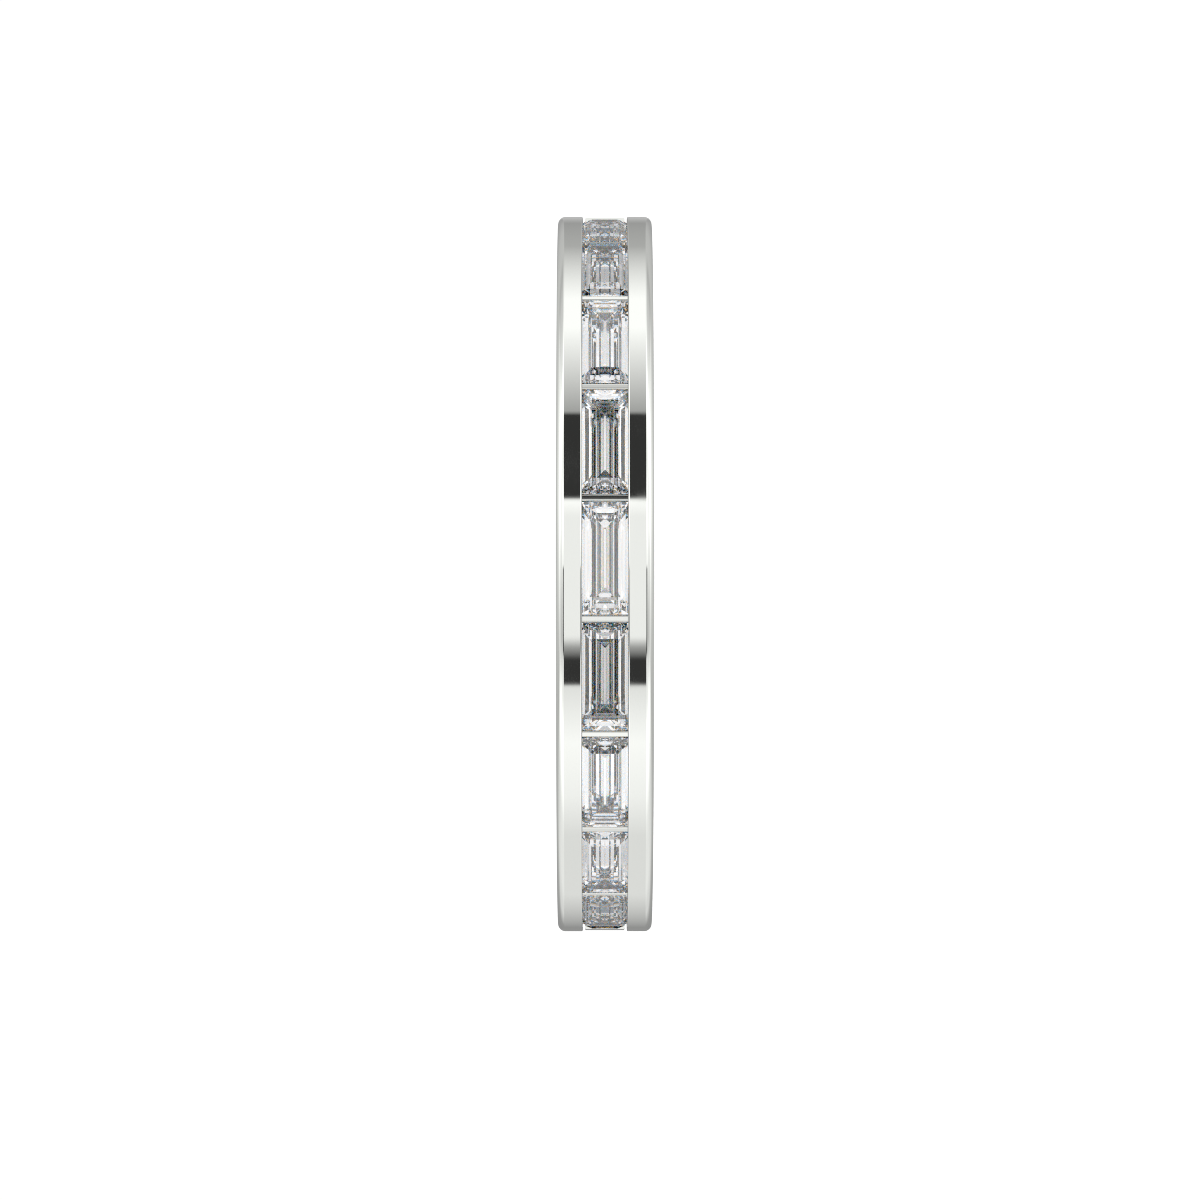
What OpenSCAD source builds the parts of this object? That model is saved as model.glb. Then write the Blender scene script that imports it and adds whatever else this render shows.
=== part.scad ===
// Half eternity ring with baguette stones in a channel over its front half.
// The ring lies on its side: its axis is Z, and the side face rests on z = 0.
// Lengths are in millimetres.

/* [Band] */
// Radius over the two rails
band_r = 10; // [9.5:0.05:11]
// Thickness from the finger hole to the top of the rails
band_thick = 1.75; // [1.65:0.05:2.2]
// Width of the band along its axis
band_w = 2.61; // [2.5:0.01:2.9]
// Radius of the rounded outer edge of each rail
rail_round = 0.21; // [0.1:0.01:0.3]
// Radius of the rounded edges of the finger hole
comfort_round = 0.35; // [0.2:0.01:0.5]

/* [Channel] */
// Open width between the two rails
channel_w = 1.23; // [1.16:0.01:1.3]
// Depth of the channel floor below the top of the rails
channel_d = 0.46; // [0.44:0.01:0.48]
// Radius of the fine rounding on the inner edge of each rail
lip_round = 0.035; // [0.02:0.005:0.05]

/* [Cross bars] */
// Thickness of each bar between two stones
bar_t = 0.175; // [0.14:0.005:0.2]
// Drop of the bar's top below the top of the rails
bar_drop = 0.22; // [0.2:0.005:0.24]
// Radius of the rounding along the top of each bar
bar_round = 0.035; // [0.02:0.005:0.05]
// How far each end of a bar runs into the rail beside it
bar_root = 0.05; // [0.03:0.01:0.07]

/* [Closing strip] */
// Drop of the strip's top below the top of the rails
strip_drop = 0.03; // [0.01:0.01:0.06]
// Width of the fine groove on each side of the strip
groove_w = 0.065; // [0.05:0.005:0.08]

/* [Stones] */
// Number of stones, over the front half of the ring at most
stone_count = 9; // [5:2:9]
// Number of such stones that would go all round
full_round = 19; // [18:1:20]
// Width of a stone at its girdle
stone_w = 1.38; // [1.34:0.01:1.42]
// Depth of the stone's flat table below the top of the rails
table_drop = 0.13; // [0.12:0.01:0.15]
// Clear gap between a stone and its seat
seat_gap = 0.025; // [0.02:0.005:0.03]

/* [Hidden] */
$fn = 96;
// Steps of the cut from the table down. Each facet row has one drop all round the stone, and its
// own inward run along the sides and at the ends
crown_fall = [0.095, 0.112];
crown_side = [0.194, 0.145];
crown_end = [0.208, 0.158];
girdle_t = 0.03;
pavilion_fall = [0.303, 0.150, 0.130];
pavilion_side = [0.254, 0.201, 0.235];
pavilion_end = [0.299, 0.163, 0.264];

bore_r = band_r - band_thick;
mid_z = band_w / 2;
floor_r = band_r - channel_d;
bar_top = band_r - bar_drop;
strip_top = band_r - strip_drop;
pitch = 360 / full_round;
// Direction of the middle stone from the ring axis: the front of the ring
front = -90;

// Heights of the facet rows of a stone, measured from the ring axis
table_h = band_r - table_drop;
step_h = table_h - crown_fall[0];
girdle_h = step_h - crown_fall[1];
girdle_low = girdle_h - girdle_t;
pav1_h = girdle_low - pavilion_fall[0];
pav2_h = pav1_h - pavilion_fall[1];
keel_h = pav2_h - pavilion_fall[2];

// Half length of a stone: what the two bars leave at the height of its girdle
stone_half = girdle_low * tan(pitch / 2) - bar_t / 2 / cos(pitch / 2) - seat_gap;

function stone_name(i) = str("baguette_", i < 10 ? "0" : "", i);
function stone_turn(i) = front + (i - (stone_count + 1) / 2) * pitch;
STONES = [for (i = [1 : stone_count]) stone_name(i)];

// Outline of the step cut for one direction, half wide at the girdle, grown by g all round.
// Across the stone the two sides meet in a sharp keel; along it the keel has a length.
module cut_outline(half, crown, pavilion, g) {
    w0 = half - crown[0] - crown[1] + g;
    w1 = half - crown[1] + g;
    w2 = half + g;
    w3 = half - pavilion[0] + g;
    w4 = half - pavilion[0] - pavilion[1] + g;
    w5 = half - pavilion[0] - pavilion[1] - pavilion[2] + g;
    one_side = [
        [pav2_h - g / 2, w4], [pav1_h - g / 2, w3], [girdle_low, w2], [girdle_h, w2], [step_h, w1], [table_h + g, w0]
    ];
    other_side = [for (i = [len(one_side) - 1 : -1 : 0]) [one_side[i][0], -one_side[i][1]]];
    keel = w5 > 0.001 ? [[keel_h - g, -w5], [keel_h - g, w5]] : [[keel_h, 0]];
    polygon(concat(keel, one_side, other_side));
}

// One baguette at its place on +X: two outlines extruded across each other meet in mitres
module baguette_solid(g) {
    intersection() {
        translate([0, 0, -2]) linear_extrude(band_w + 4)
            cut_outline(stone_half, crown_end, pavilion_end, g);
        translate([0, 2, mid_z]) rotate([90, 0, 0]) linear_extrude(4)
            cut_outline(stone_w / 2, crown_side, pavilion_side, g);
    }
}

module baguette(i) {
    color([0.93, 0.95, 0.97]) rotate([0, 0, stone_turn(i)]) baguette_solid(0);
}

// Cross-section of one rail with its rounded edges, from the channel floor outwards
module rail_section() {
    rail_w = (band_w - channel_w) / 2;
    deep_r = floor_r - 0.3;
    translate([deep_r, 0]) square([band_r - rail_round - deep_r, rail_w]);
    translate([deep_r, rail_round]) square([band_r - deep_r, rail_w - rail_round - lip_round]);
    translate([deep_r, rail_round]) square([band_r - lip_round - deep_r, rail_w - rail_round]);
    translate([band_r - rail_round, rail_round]) circle(rail_round);
    translate([band_r - lip_round, rail_w - lip_round]) circle(lip_round);
}

// Cross-section of the hoop under the channel, with the soft edges of the finger hole
module hoop_section() {
    edge_r = bore_r + comfort_round;
    translate([edge_r, 0]) square([floor_r - edge_r, band_w]);
    translate([bore_r, comfort_round]) square([comfort_round, band_w - 2 * comfort_round]);
    translate([edge_r, comfort_round]) circle(comfort_round);
    translate([edge_r, band_w - comfort_round]) circle(comfort_round);
}

// One cross bar: a thin plate from rail to rail across the channel, with a softly rounded top
module cross_bar() {
    half_w = channel_w / 2 + bar_root;
    foot_r = floor_r - 0.2;
    translate([0, 0, mid_z - half_w]) linear_extrude(2 * half_w) union() {
        translate([foot_r, -bar_t / 2]) square([bar_top - bar_round - foot_r, bar_t]);
        translate([foot_r, bar_round - bar_t / 2]) square([bar_top - foot_r, bar_t - 2 * bar_round]);
        translate([bar_top - bar_round, bar_round - bar_t / 2]) circle(bar_round);
        translate([bar_top - bar_round, bar_t / 2 - bar_round]) circle(bar_round);
    }
}

// The plain strip that closes the channel over the back, from one end wall to the other.
// Each end wall stands where the face of the next cross bar would.
module closing_strip() {
    half_w = channel_w / 2 - groove_w;
    foot_r = floor_r - 0.2;
    reach = 3 * band_r;
    difference() {
        rotate_extrude() union() {
            translate([foot_r, mid_z - half_w]) square([strip_top - bar_round - foot_r, 2 * half_w]);
            translate([foot_r, mid_z - half_w + bar_round])
                square([strip_top - foot_r, 2 * (half_w - bar_round)]);
            for (side = [-1, 1])
                translate([strip_top - bar_round, mid_z + side * (half_w - bar_round)]) circle(bar_round);
        }
        translate([0, 0, -1]) linear_extrude(band_w + 2) intersection() {
            rotate([0, 0, front + stone_count / 2 * pitch])
                translate([-reach, -bar_t / 2 - reach]) square([2 * reach, reach]);
            rotate([0, 0, front - stone_count / 2 * pitch])
                translate([-reach, bar_t / 2]) square([2 * reach, reach]);
        }
    }
}

module band() {
    color([0.80, 0.80, 0.79]) difference() {
        union() {
            rotate_extrude() union() {
                hoop_section();
                rail_section();
                translate([0, band_w]) mirror([0, 1]) rail_section();
            }
            for (i = [1 : stone_count - 1]) rotate([0, 0, stone_turn(i) + pitch / 2]) cross_bar();
            closing_strip();
        }
        for (i = [1 : stone_count]) rotate([0, 0, stone_turn(i)]) baguette_solid(seat_gap);
    }
}

band();
for (i = [1 : stone_count])
    baguette(i);
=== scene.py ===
import math

import bmesh
import bpy
from mathutils import Matrix, Vector


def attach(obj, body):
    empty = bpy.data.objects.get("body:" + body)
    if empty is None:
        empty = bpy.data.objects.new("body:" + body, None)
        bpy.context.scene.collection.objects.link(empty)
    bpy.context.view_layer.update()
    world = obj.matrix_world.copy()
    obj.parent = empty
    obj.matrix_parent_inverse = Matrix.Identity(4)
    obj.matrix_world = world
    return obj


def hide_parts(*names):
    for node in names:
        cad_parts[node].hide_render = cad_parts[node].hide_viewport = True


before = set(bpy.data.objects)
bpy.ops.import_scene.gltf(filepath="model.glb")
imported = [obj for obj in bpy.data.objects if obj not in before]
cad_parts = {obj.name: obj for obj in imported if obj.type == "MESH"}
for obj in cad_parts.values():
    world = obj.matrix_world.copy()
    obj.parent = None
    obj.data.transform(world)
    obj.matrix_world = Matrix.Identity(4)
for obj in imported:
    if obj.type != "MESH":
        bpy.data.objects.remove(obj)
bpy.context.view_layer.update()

mm = 0.001

# The band
# A hoop of polished white metal with a rail along each edge and an open channel between them.
# It is turned in one piece, its rims are rounded over and its finger hole is eased for comfort.
rail_radius = 10.0 * mm
hole_radius = 8.25 * mm
band_width = 2.61 * mm
channel_width = 1.23 * mm
floor_radius = 9.54 * mm
rim_round = 0.21 * mm
lip_round = 0.035 * mm
comfort_round = 0.35 * mm
edge_land = 0.012 * mm
rim_steps = 14
comfort_steps = 12
lip_steps = 4
turning_steps = 480
same_place = 1e-7

middle = band_width / 2
lip_low = middle - channel_width / 2
lip_high = middle + channel_width / 2


def round_corners(mesh, points, radius, steps):
    bmesh.ops.bevel(mesh, geom=points, offset=radius, segments=steps, profile=0.5,
                    affect="VERTICES", offset_type="OFFSET", clamp_overlap=True, material=-1)


def score_line(mesh, point, normal):
    bmesh.ops.bisect_plane(mesh, geom=list(mesh.verts) + list(mesh.edges) + list(mesh.faces),
                           plane_co=point, plane_no=normal, dist=1e-9)


def stored(mesh, name):
    data = bpy.data.meshes.new(name)
    mesh.to_mesh(data)
    mesh.free()
    return data


def placed(name, data):
    thing = bpy.data.objects.new(name, data)
    bpy.context.collection.objects.link(thing)
    return thing


band_mesh = bmesh.new()
section = [
    (hole_radius, 0), (rail_radius, 0), (rail_radius, lip_low), (floor_radius, lip_low),
    (floor_radius, lip_high), (rail_radius, lip_high), (rail_radius, band_width), (hole_radius, band_width),
]
corners = [band_mesh.verts.new((r, 0, z)) for r, z in section]
band_mesh.faces.new(corners)
rims = [corners[1], corners[6]]
round_corners(band_mesh, rims, rim_round, rim_steps)
hole_edges = [v for v in band_mesh.verts if v.co.x < hole_radius + same_place]
round_corners(band_mesh, hole_edges, comfort_round, comfort_steps)
lips = [v for v in band_mesh.verts if abs(v.co.x - rail_radius) < same_place
        and min(abs(v.co.z - lip_low), abs(v.co.z - lip_high)) < same_place]
round_corners(band_mesh, lips, lip_round, lip_steps)
bmesh.ops.delete(band_mesh, geom=list(band_mesh.faces), context="FACES_ONLY")
# Narrow lands beside the rounded edges keep the flats truly flat in reflection
for height in (rim_round + edge_land, lip_low - lip_round - edge_land, comfort_round + edge_land):
    for level in (height, band_width - height):
        score_line(band_mesh, (0, 0, level), (0, 0, 1))
for radius in (hole_radius + comfort_round + edge_land, rail_radius - rim_round - edge_land,
               rail_radius - lip_round - edge_land):
    score_line(band_mesh, (radius, 0, 0), (1, 0, 0))
bmesh.ops.spin(band_mesh, geom=list(band_mesh.verts) + list(band_mesh.edges), cent=(0, 0, 0), axis=(0, 0, 1),
               angle=2 * math.pi, steps=turning_steps, use_merge=True)
bmesh.ops.remove_doubles(band_mesh, verts=band_mesh.verts, dist=1e-8)
bmesh.ops.recalc_face_normals(band_mesh, faces=band_mesh.faces)
band = placed("polished_band", stored(band_mesh, "band_metal"))

# The stone seats
# Each stone drops into a pocket cut with a bur to the shape of its own pavilion and girdle.
# The pocket runs under both rails, so that the rails hold the stone down along its long edges.
stone_names = sorted(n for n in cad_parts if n.startswith("baguette_"))
seat_growth = 1.035

bur = bmesh.new()
for name in stone_names:
    before = len(bur.verts)
    bur.from_mesh(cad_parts[name].data)
    bur.verts.ensure_lookup_table()
    fresh = bur.verts[before:]
    centre = sum((v.co for v in fresh), Vector()) / len(fresh)
    bmesh.ops.scale(bur, vec=(seat_growth,) * 3, verts=fresh, space=Matrix.Translation(-centre))
bmesh.ops.remove_doubles(bur, verts=bur.verts, dist=same_place)
bur_object = placed("seat_bur", stored(bur, "seat_bur"))

cut = band.modifiers.new("seats", "BOOLEAN")
cut.operation = "DIFFERENCE"
cut.solver = "EXACT"
cut.object = bur_object
cut_mesh = bpy.data.meshes.new_from_object(band.evaluated_get(bpy.context.evaluated_depsgraph_get()))
band.modifiers.clear()
band.data = cut_mesh
bpy.data.objects.remove(bur_object)

# The cross bars
# Thin plates of the same metal soldered across the channel, one between each two stones.
# Their softly rounded tops lie lower than the rails, level with the edges of the stones.
bar_count = len(stone_names) - 1
stones_all_round = 19
pitch = 2 * math.pi / stones_all_round
front = -math.pi / 2
bar_thickness = 0.175 * mm
bar_top = 9.78 * mm
bar_foot = 9.34 * mm
bar_root = 0.04 * mm
bar_length = channel_width + 2 * bar_root
bar_edge = 0.035 * mm
bar_edge_steps = 6
crest_land = 0.004 * mm
crest_parts = 8

bars = bmesh.new()
bmesh.ops.create_cube(bars, size=1)
bmesh.ops.scale(bars, vec=(bar_top - bar_foot, bar_thickness, bar_length), verts=bars.verts)
bmesh.ops.translate(bars, vec=((bar_top + bar_foot) / 2, 0, middle), verts=bars.verts)
long_edges = [e for e in bars.edges if all(v.co.x > bar_top - same_place for v in e.verts)
              and abs(e.verts[0].co.z - e.verts[1].co.z) > bar_length / 2]
bmesh.ops.bevel(bars, geom=long_edges, offset=bar_edge, segments=bar_edge_steps, profile=0.5, affect="EDGES",
                offset_type="OFFSET", clamp_overlap=True, material=-1)
crest = [f for f in bars.faces if f.normal.x > 0.999 and f.calc_center_median().x > bar_top - same_place]
bmesh.ops.inset_region(bars, faces=crest, thickness=crest_land, depth=0, use_even_offset=True)
score_line(bars, (bar_top - bar_edge - edge_land, 0, 0), (1, 0, 0))
# The tops are turned together with the rails, so they share the curve of the ring
for part in range(1, crest_parts):
    score_line(bars, (0, (part / crest_parts - 0.5) * bar_thickness, 0), (0, 1, 0))
for vert in bars.verts:
    if vert.co.x > bar_top - same_place:
        vert.co.x = math.sqrt(bar_top ** 2 - vert.co.y ** 2)
first_bar = front - (bar_count - 1) / 2 * pitch
bmesh.ops.rotate(bars, cent=(0, 0, 0), matrix=Matrix.Rotation(first_bar, 3, "Z"), verts=bars.verts)
bmesh.ops.spin(bars, geom=list(bars.verts) + list(bars.edges) + list(bars.faces), cent=(0, 0, 0),
               axis=(0, 0, 1), angle=pitch * (bar_count - 1), steps=bar_count - 1, use_duplicate=True)
bars_data = stored(bars, "bars")

# The closing strip
# A plain strip of the same metal that fills the channel over the back, from end wall to end wall.
# It is bent to the hoop and soldered in, and a fine groove is left open beside each rail.
strip_top = 9.97 * mm
groove_width = 0.065 * mm
strip_half = channel_width / 2 - groove_width
strip_edge = 0.035 * mm
strip_edge_steps = 4
strip_start = front + (bar_count + 1) / 2 * pitch - bar_thickness / 2 / strip_top
strip_angle = 2 * math.pi - 2 * (strip_start - front)

strip = bmesh.new()
outline = [strip.verts.new((r, 0, middle + side)) for r, side in (
    (bar_foot, -strip_half), (strip_top, -strip_half), (strip_top, strip_half), (bar_foot, strip_half))]
strip.faces.new(outline)
round_corners(strip, outline[1:3], strip_edge, strip_edge_steps)
bmesh.ops.delete(strip, geom=list(strip.faces), context="FACES_ONLY")
for side in (-1, 1):
    score_line(strip, (0, 0, middle + side * (strip_half - strip_edge - edge_land)), (0, 0, 1))
score_line(strip, (strip_top - strip_edge - edge_land, 0, 0), (1, 0, 0))
bmesh.ops.rotate(strip, cent=(0, 0, 0), matrix=Matrix.Rotation(strip_start, 3, "Z"), verts=strip.verts)
bmesh.ops.spin(strip, geom=list(strip.verts) + list(strip.edges), cent=(0, 0, 0), axis=(0, 0, 1),
               angle=strip_angle, steps=turning_steps // 2)
bmesh.ops.holes_fill(strip, edges=[e for e in strip.edges if e.is_boundary], sides=0)
bmesh.ops.recalc_face_normals(strip, faces=strip.faces)
strip_data = stored(strip, "closing_strip")

# The finished band
# Hoop, bars and strip are one piece of white metal once they are soldered together. It is polished
# bright on the wheel, worn satin in the finger hole and left as cut in the channel and the seats.
# The channel, the seats and the crevice by each lip are also painted darker in colour, as painted shade
crease_angle = math.radians(28)
metal_colour = (0.862, 0.876, 0.840, 1)
# Painted shade colour for the channel, the seats and the crevices
shade_colour = (0.50, 0.50, 0.49, 1)
satin_roughness = 0.07
as_cut_roughness = 0.03
hairline_spacing = 9000
hairline_depth = 0.002 * mm
smudge_scale = 900

whole = bmesh.new()
for data in (band.data, bars_data, strip_data):
    whole.from_mesh(data)
for face in whole.faces:
    face.smooth = True
for edge in whole.edges:
    if len(edge.link_faces) == 2 and edge.calc_face_angle(0) > crease_angle:
        edge.smooth = False
whole.to_mesh(band.data)
whole.free()
flats = band.modifiers.new("flats", "WEIGHTED_NORMAL")
flats.mode = "FACE_AREA"
flats.weight = 100
flats.keep_sharp = True

white_metal = bpy.data.materials.new("polished_white_metal")
white_metal.use_nodes = True
tree = white_metal.node_tree
shader = tree.nodes["Principled BSDF"]
shader.inputs["Metallic"].default_value = 1


def feed(socket, value):
    if isinstance(value, (int, float, tuple)):
        socket.default_value = value
    else:
        tree.links.new(value, socket)


def reckon(operation, *values):
    node = tree.nodes.new("ShaderNodeMath")
    node.operation = operation
    for socket, value in zip(node.inputs, values):
        feed(socket, value)
    return node.outputs[0]


def product(first, *others):
    for other in others:
        first = reckon("MULTIPLY", first, other)
    return first


def rising(value, low, high, start=0.0, end=1.0, interpolation="SMOOTHSTEP"):
    node = tree.nodes.new("ShaderNodeMapRange")
    node.interpolation_type = interpolation
    for name, number in (("From Min", low), ("From Max", high), ("To Min", start), ("To Max", end)):
        node.inputs[name].default_value = number
    tree.links.new(value, node.inputs["Value"])
    return node.outputs[0]


def falling(value, low, high):
    return rising(value, low, high, 1, 0)


def mixed(factor, first, second, blend_type="MIX"):
    node = tree.nodes.new("ShaderNodeMix")
    node.data_type = "RGBA"
    node.blend_type = blend_type
    for socket, value in zip((node.inputs[0], node.inputs[6], node.inputs[7]), (factor, first, second)):
        feed(socket, value)
    return node.outputs[2]


def grain(coordinates, scale, detail):
    node = tree.nodes.new("ShaderNodeTexNoise")
    node.inputs["Scale"].default_value = scale
    node.inputs["Detail"].default_value = detail
    tree.links.new(coordinates, node.inputs["Vector"])
    return node.outputs["Fac"]


def raised(height, strength, distance):
    node = tree.nodes.new("ShaderNodeBump")
    node.inputs["Strength"].default_value = strength
    node.inputs["Distance"].default_value = distance
    tree.links.new(height, node.inputs["Height"])
    return node.outputs[0]


on_metal = tree.nodes.new("ShaderNodeTexCoord").outputs["Object"]
axes = tree.nodes.new("ShaderNodeSeparateXYZ")
tree.links.new(on_metal, axes.inputs[0])
metal_x, metal_y, metal_z = axes.outputs
from_axis = reckon("SQRT", reckon("ADD", product(metal_x, metal_x), product(metal_y, metal_y)))
off_centre = reckon("ABSOLUTE", reckon("SUBTRACT", metal_z, middle))
# Hairlines run round the band, left by the polishing wheel
around_hoop = tree.nodes.new("ShaderNodeCombineXYZ")
tree.links.new(reckon("DIVIDE", metal_x, from_axis), around_hoop.inputs["X"])
tree.links.new(reckon("DIVIDE", metal_y, from_axis), around_hoop.inputs["Y"])
tree.links.new(product(metal_z, hairline_spacing), around_hoop.inputs["Z"])
hairlines = tree.nodes.new("ShaderNodeTexNoise")
hairlines.noise_dimensions = "4D"
hairlines.inputs["Scale"].default_value = 6
hairlines.inputs["Detail"].default_value = 3
tree.links.new(around_hoop.outputs[0], hairlines.inputs["Vector"])
tree.links.new(product(from_axis, hairline_spacing), hairlines.inputs["W"])
tree.links.new(raised(hairlines.outputs["Fac"], 0.05, hairline_depth), shader.inputs["Normal"])
# Satin fades out over the eased edge of the finger hole; the as-cut roughness and the painted shade in the
# channel end under the lips
in_hole = falling(from_axis, hole_radius + 0.05 * mm, hole_radius + 0.3 * mm)
in_channel = product(falling(from_axis, 9.65 * mm, 9.69 * mm), falling(off_centre, 0.74 * mm, 0.78 * mm),
                     rising(from_axis, 8.50 * mm, 8.60 * mm))
smudges = rising(grain(on_metal, smudge_scale, 4), 0.35, 0.75, 0.035, 0.075)
worn = reckon("ADD", product(in_hole, satin_roughness), product(in_channel, as_cut_roughness))
tree.links.new(reckon("ADD", smudges, worn), shader.inputs["Roughness"])
# Painted shade: a dark line is painted in the crevice between each lip and the stones, where shade falls
crevice_shade = product(falling(off_centre, 0.632 * mm, 0.644 * mm), rising(off_centre, 0.600 * mm, 0.606 * mm),
                     rising(from_axis, 9.60 * mm, 9.66 * mm))
# Both are painted shade: the channel and the seats under the stones, and the crevice line by the lips; only
# the roughness is the as-cut finish
painted_shade = reckon("MAXIMUM", product(in_channel, 0.8), product(crevice_shade, 0.7))
tree.links.new(mixed(painted_shade, metal_colour, shade_colour), shader.inputs["Base Color"])
band.data.materials.clear()
band.data.materials.append(white_metal)
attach(band, "root")
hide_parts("band")

# The baguette stones
# Step-cut diamonds, each with a flat table, two rows of crown steps, a thin girdle and a keel below.
# They are cut to one size, and lie end to end with their long edges under the rails.
stone_index = 2.417
red_index, red_part = 2.404, (0.92, 0.5, 0.08, 1)
blue_index, blue_part = 2.436, (0.08, 0.5, 0.92, 1)
clear_colour = (1, 1, 1, 1)
warmer_colour = (0.985, 0.987, 0.984, 1)
inner_colour = (0.985, 0.985, 0.988, 1)

diamond = bpy.data.materials.new("white_diamond")
diamond.use_nodes = True
tree = diamond.node_tree
tree.nodes.remove(tree.nodes["Principled BSDF"])
in_stone = tree.nodes.new("ShaderNodeTexCoord").outputs["Object"]
# The last polish leaves a trace of haze in patches and the finest of lines on the facets
haze = rising(grain(in_stone, 2600, 3), 0.45, 0.75, 0, 0.012, "LINEAR")
facet_lines = raised(grain(in_stone, 30000, 2), 0.02, 0.0005 * mm)
# A near colourless stone, by a hair warmer in some parts than in others
body = mixed(rising(grain(in_stone, 700, 1), 0.35, 0.65, 0, 1, "LINEAR"), clear_colour, warmer_colour)


def surface(kind, colour, roughness, index=None):
    node = tree.nodes.new(kind)
    feed(node.inputs["Color"], colour)
    feed(node.inputs["Roughness"], roughness)
    if index:
        node.inputs["IOR"].default_value = index
    return node


def joined(kind, first, second):
    node = tree.nodes.new(kind)
    sockets = [s for s in node.inputs if s.type == "SHADER"]
    tree.links.new(first.outputs[0], sockets[0])
    tree.links.new(second.outputs[0], sockets[1])
    return node


# Red light bends a little less than blue, which gives the stone its fire
bent_red = surface("ShaderNodeBsdfRefraction", mixed(1, body, red_part, "MULTIPLY"), haze, red_index)
bent_blue = surface("ShaderNodeBsdfRefraction", mixed(1, body, blue_part, "MULTIPLY"), haze, blue_index)
shine = surface("ShaderNodeBsdfGlossy", clear_colour, haze)
for part in (bent_red, bent_blue, shine):
    tree.links.new(facet_lines, part.inputs["Normal"])
outside = joined("ShaderNodeMixShader", joined("ShaderNodeAddShader", bent_red, bent_blue), shine)
fresnel = tree.nodes.new("ShaderNodeFresnel")
fresnel.inputs["IOR"].default_value = stone_index
tree.links.new(fresnel.outputs[0], outside.inputs[0])
inside = surface("ShaderNodeBsdfGlass", inner_colour, 0, stone_index)
both = joined("ShaderNodeMixShader", outside, inside)
tree.links.new(tree.nodes.new("ShaderNodeNewGeometry").outputs["Backfacing"], both.inputs[0])
tree.links.new(both.outputs[0], tree.nodes["Material Output"].inputs["Surface"])
for name in stone_names:
    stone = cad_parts[name]
    stone.data.materials.clear()
    stone.data.materials.append(diamond)

# The studio sheet
# A round sheet of white paper lies under the ring, and is lit a little from below.
# The polished metal and the stones don't mirror it.
sheet = bmesh.new()
bmesh.ops.create_circle(sheet, cap_ends=True, segments=96, radius=170 * mm)
floor = placed("white_sweep", stored(sheet, "white_sweep"))
floor.visible_glossy = False
floor.visible_transmission = False
paper = bpy.data.materials.new("white_paper")
paper.use_nodes = True
for socket, value in (("Base Color", (0.9, 0.9, 0.9, 1)), ("Roughness", 0.8), ("Specular IOR Level", 0),
                      ("Emission Color", (1, 1, 1, 1)), ("Emission Strength", 0.36)):
    paper.node_tree.nodes["Principled BSDF"].inputs[socket].default_value = value
floor.data.materials.append(paper)

# The light tent
# A soft tent of white cloth stands all round the ring, lit from outside, brighter in some places.
# Two black flags in it draw the dark bands in the polished rails.
camera_turn = math.radians(2.28)
strip_light = (0.06, 0.06, 0.06, 1)
curtain_light = (0.72, 0.72, 0.72, 1)
backdrop_light = 1.05

world = bpy.data.worlds.new("light_tent")
bpy.context.scene.world = world
world.use_nodes = True
tree = world.node_tree
tree.nodes.clear()
tent_axes = tree.nodes.new("ShaderNodeSeparateXYZ")
tree.links.new(tree.nodes.new("ShaderNodeTexCoord").outputs["Generated"], tent_axes.inputs[0])
tent_x, tent_y, tent_z = tent_axes.outputs
# Low in the picture, towards the camera, and along the ring's axis to either side
across = product(tent_x, -1)
towards = product(tent_y, -1)
height = reckon("ABSOLUTE", tent_z)
angle = reckon("SUBTRACT", reckon("ARCTAN2", across, towards), camera_turn)
half_turn = reckon("ARCTAN2", reckon("SINE", angle), reckon("COSINE", angle))


def ramp(value, low, high, stops):
    node = tree.nodes.new("ShaderNodeValToRGB")
    while len(node.color_ramp.elements) < len(stops):
        node.color_ramp.elements.new(0.5)
    for element, (place, light) in zip(node.color_ramp.elements, stops):
        element.position = (place - low) / (high - low)
        element.color = (light, light, light, 1)
    tree.links.new(rising(value, low, high, 0, 1, "LINEAR"), node.inputs[0])
    return node.outputs[0]


# The tent's wall, level with the ring, as light at places in degrees from the camera.
# Upper half of the ring in the picture: front panel with a bright edge, flag, side wall, dim corner, back
front_light = 0.96
flag_light = 0.035
upper_flag_start = 24
upper_flag_end = 51.5
over = [
    (0, front_light), (18, front_light), (23, 1.15),
    (upper_flag_start, flag_light), (upper_flag_end, flag_light),
    (52.5, 0.4), (85, 1.15), (98, 1.15), (130, 0.45), (155, 0.35), (165, 0.5), (180, 0.5),
]
# Lower half: front panel that fades into a flag with one sharp end, longer side wall, back
lower_flag_start = 27
lower_flag_end = 35
under = [
    (0, front_light), (20, front_light), (23, 0.4),
    (lower_flag_start, flag_light), (lower_flag_end, flag_light),
    (36, 0.85), (55, 1.1), (75, 1.0), (92, 0.8), (125, 0.8), (160, 0.3), (180, 0.3),
]
turn = product(reckon("ABSOLUTE", half_turn), 180 / math.pi)
around = mixed(reckon("GREATER_THAN", half_turn, 0), ramp(turn, 0, 180, over), ramp(turn, 0, 180, under))
# The canopy beside the ring, from straight behind it to straight before it
canopy = ramp(towards, -1, 1, [
    (-1, 0.40), (-0.9, 0.60), (-0.8, 0.72), (-0.6, 0.80), (-0.42, 0.82), (-0.25, 0.86), (0, 0.95),
    (0.12, 1.1), (0.2, 1.18), (0.3, 1.34), (0.45, 1.45), (0.6, 1.35), (0.73, 1.1), (0.82, 1.05),
    (0.9, 1.35), (1, 1.4)])
# Behind the ring the light comes rather from the side that is low in the picture
glow = ramp(across, -1, 1, [(-1, 0.70), (-0.3, 0.75), (0, 0.95), (0.3, 1.12), (1, 1.15)])
canopy = mixed(falling(towards, -0.55, -0.1), canopy, mixed(1, canopy, glow, "MULTIPLY"))
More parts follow.
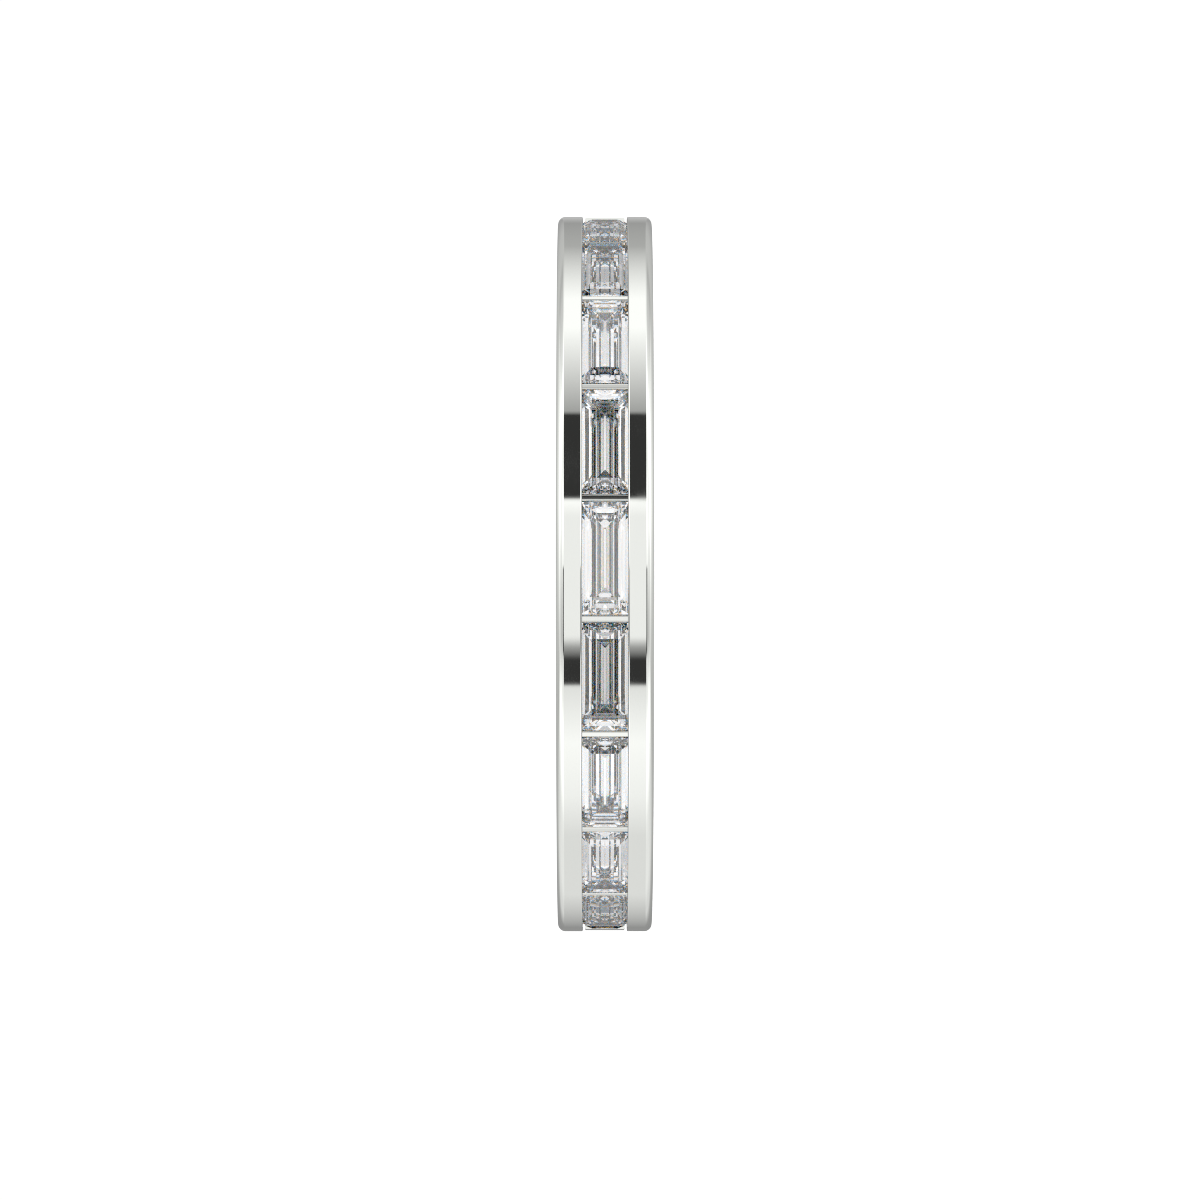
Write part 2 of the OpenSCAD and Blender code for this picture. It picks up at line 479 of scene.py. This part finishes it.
# A grey gauze hangs before the part of the canopy that is low in the picture
gauze = ramp(across, -1, 1, [
    (-1, 1), (-0.2, 1), (-0.08, 0.83), (0.09, 0.68), (0.22, 0.58), (0.35, 0.53), (0.47, 0.74),
    (0.56, 0.88), (0.66, 0.88), (0.8, 0.97), (1, 1)])
tent_light = mixed(rising(height, 0.06, 0.09), around, mixed(1, canopy, gauze, "MULTIPLY"))
# Two thin grey curtains, one each side, leave the front of the tent open
curtains = product(rising(height, 0.15, 0.25), falling(height, 0.6, 0.75), falling(across, -0.1, 0.1),
                   rising(towards, -0.55, -0.35), falling(towards, 0.3, 0.5))
tent_light = mixed(curtains, tent_light, mixed(1, tent_light, curtain_light, "MULTIPLY"))
# Two narrow black strips, one each side of the lens, draw the fine dark line along the rims
strips = product(rising(height, 0.05, 0.075), falling(height, 0.24, 0.27),
                 rising(angle, math.radians(-3), math.radians(-1)),
                 falling(angle, math.radians(24), math.radians(28)))
tent_light = mixed(strips, tent_light, strip_light)
tent = tree.nodes.new("ShaderNodeBackground")
tree.links.new(tent_light, tent.inputs["Color"])
# Straight behind the ring the camera sees a plain white backdrop
backdrop = tree.nodes.new("ShaderNodeBackground")
backdrop.inputs["Color"].default_value = (1, 1, 1, 1)
backdrop.inputs["Strength"].default_value = backdrop_light
seen = joined("ShaderNodeMixShader", tent, backdrop)
tree.links.new(tree.nodes.new("ShaderNodeLightPath").outputs["Is Camera Ray"], seen.inputs[0])
world_out = tree.nodes.new("ShaderNodeOutputWorld")
tree.links.new(seen.outputs[0], world_out.inputs["Surface"])

# The camera
# Far off on a long lens and level with the middle of the rim, on its side so that the ring stands
# upright in the picture, as it is photographed.
distance = 180 * mm
frame_pixels = 1200
lens_pixels = 6419
ring_right_pixels = 4.8
ring_up_pixels = 25.85
sensor_width = 36

back = Vector((-math.sin(camera_turn), -math.cos(camera_turn), 0))
right = Vector((0, 0, -1))
up = back.cross(right)
aside = (right * ring_right_pixels + up * ring_up_pixels) / lens_pixels * distance
eye = bpy.data.cameras.new("camera")
eye.lens = lens_pixels / frame_pixels * sensor_width
eye.sensor_width = sensor_width
eye.clip_start = 10 * mm
eye.clip_end = 10
camera = placed("camera", eye)
turned = Matrix((right, up, back)).transposed().to_4x4()
camera.matrix_world = Matrix.Translation(Vector((0, 0, middle)) + back * distance - aside) @ turned
scene = bpy.context.scene
scene.camera = camera
scene.view_settings.view_transform = "Standard"
scene.cycles.max_bounces = 32
scene.cycles.glossy_bounces = 24
scene.cycles.transmission_bounces = 32
scene.cycles.blur_glossy = 0
scene.cycles.filter_width = 1.0
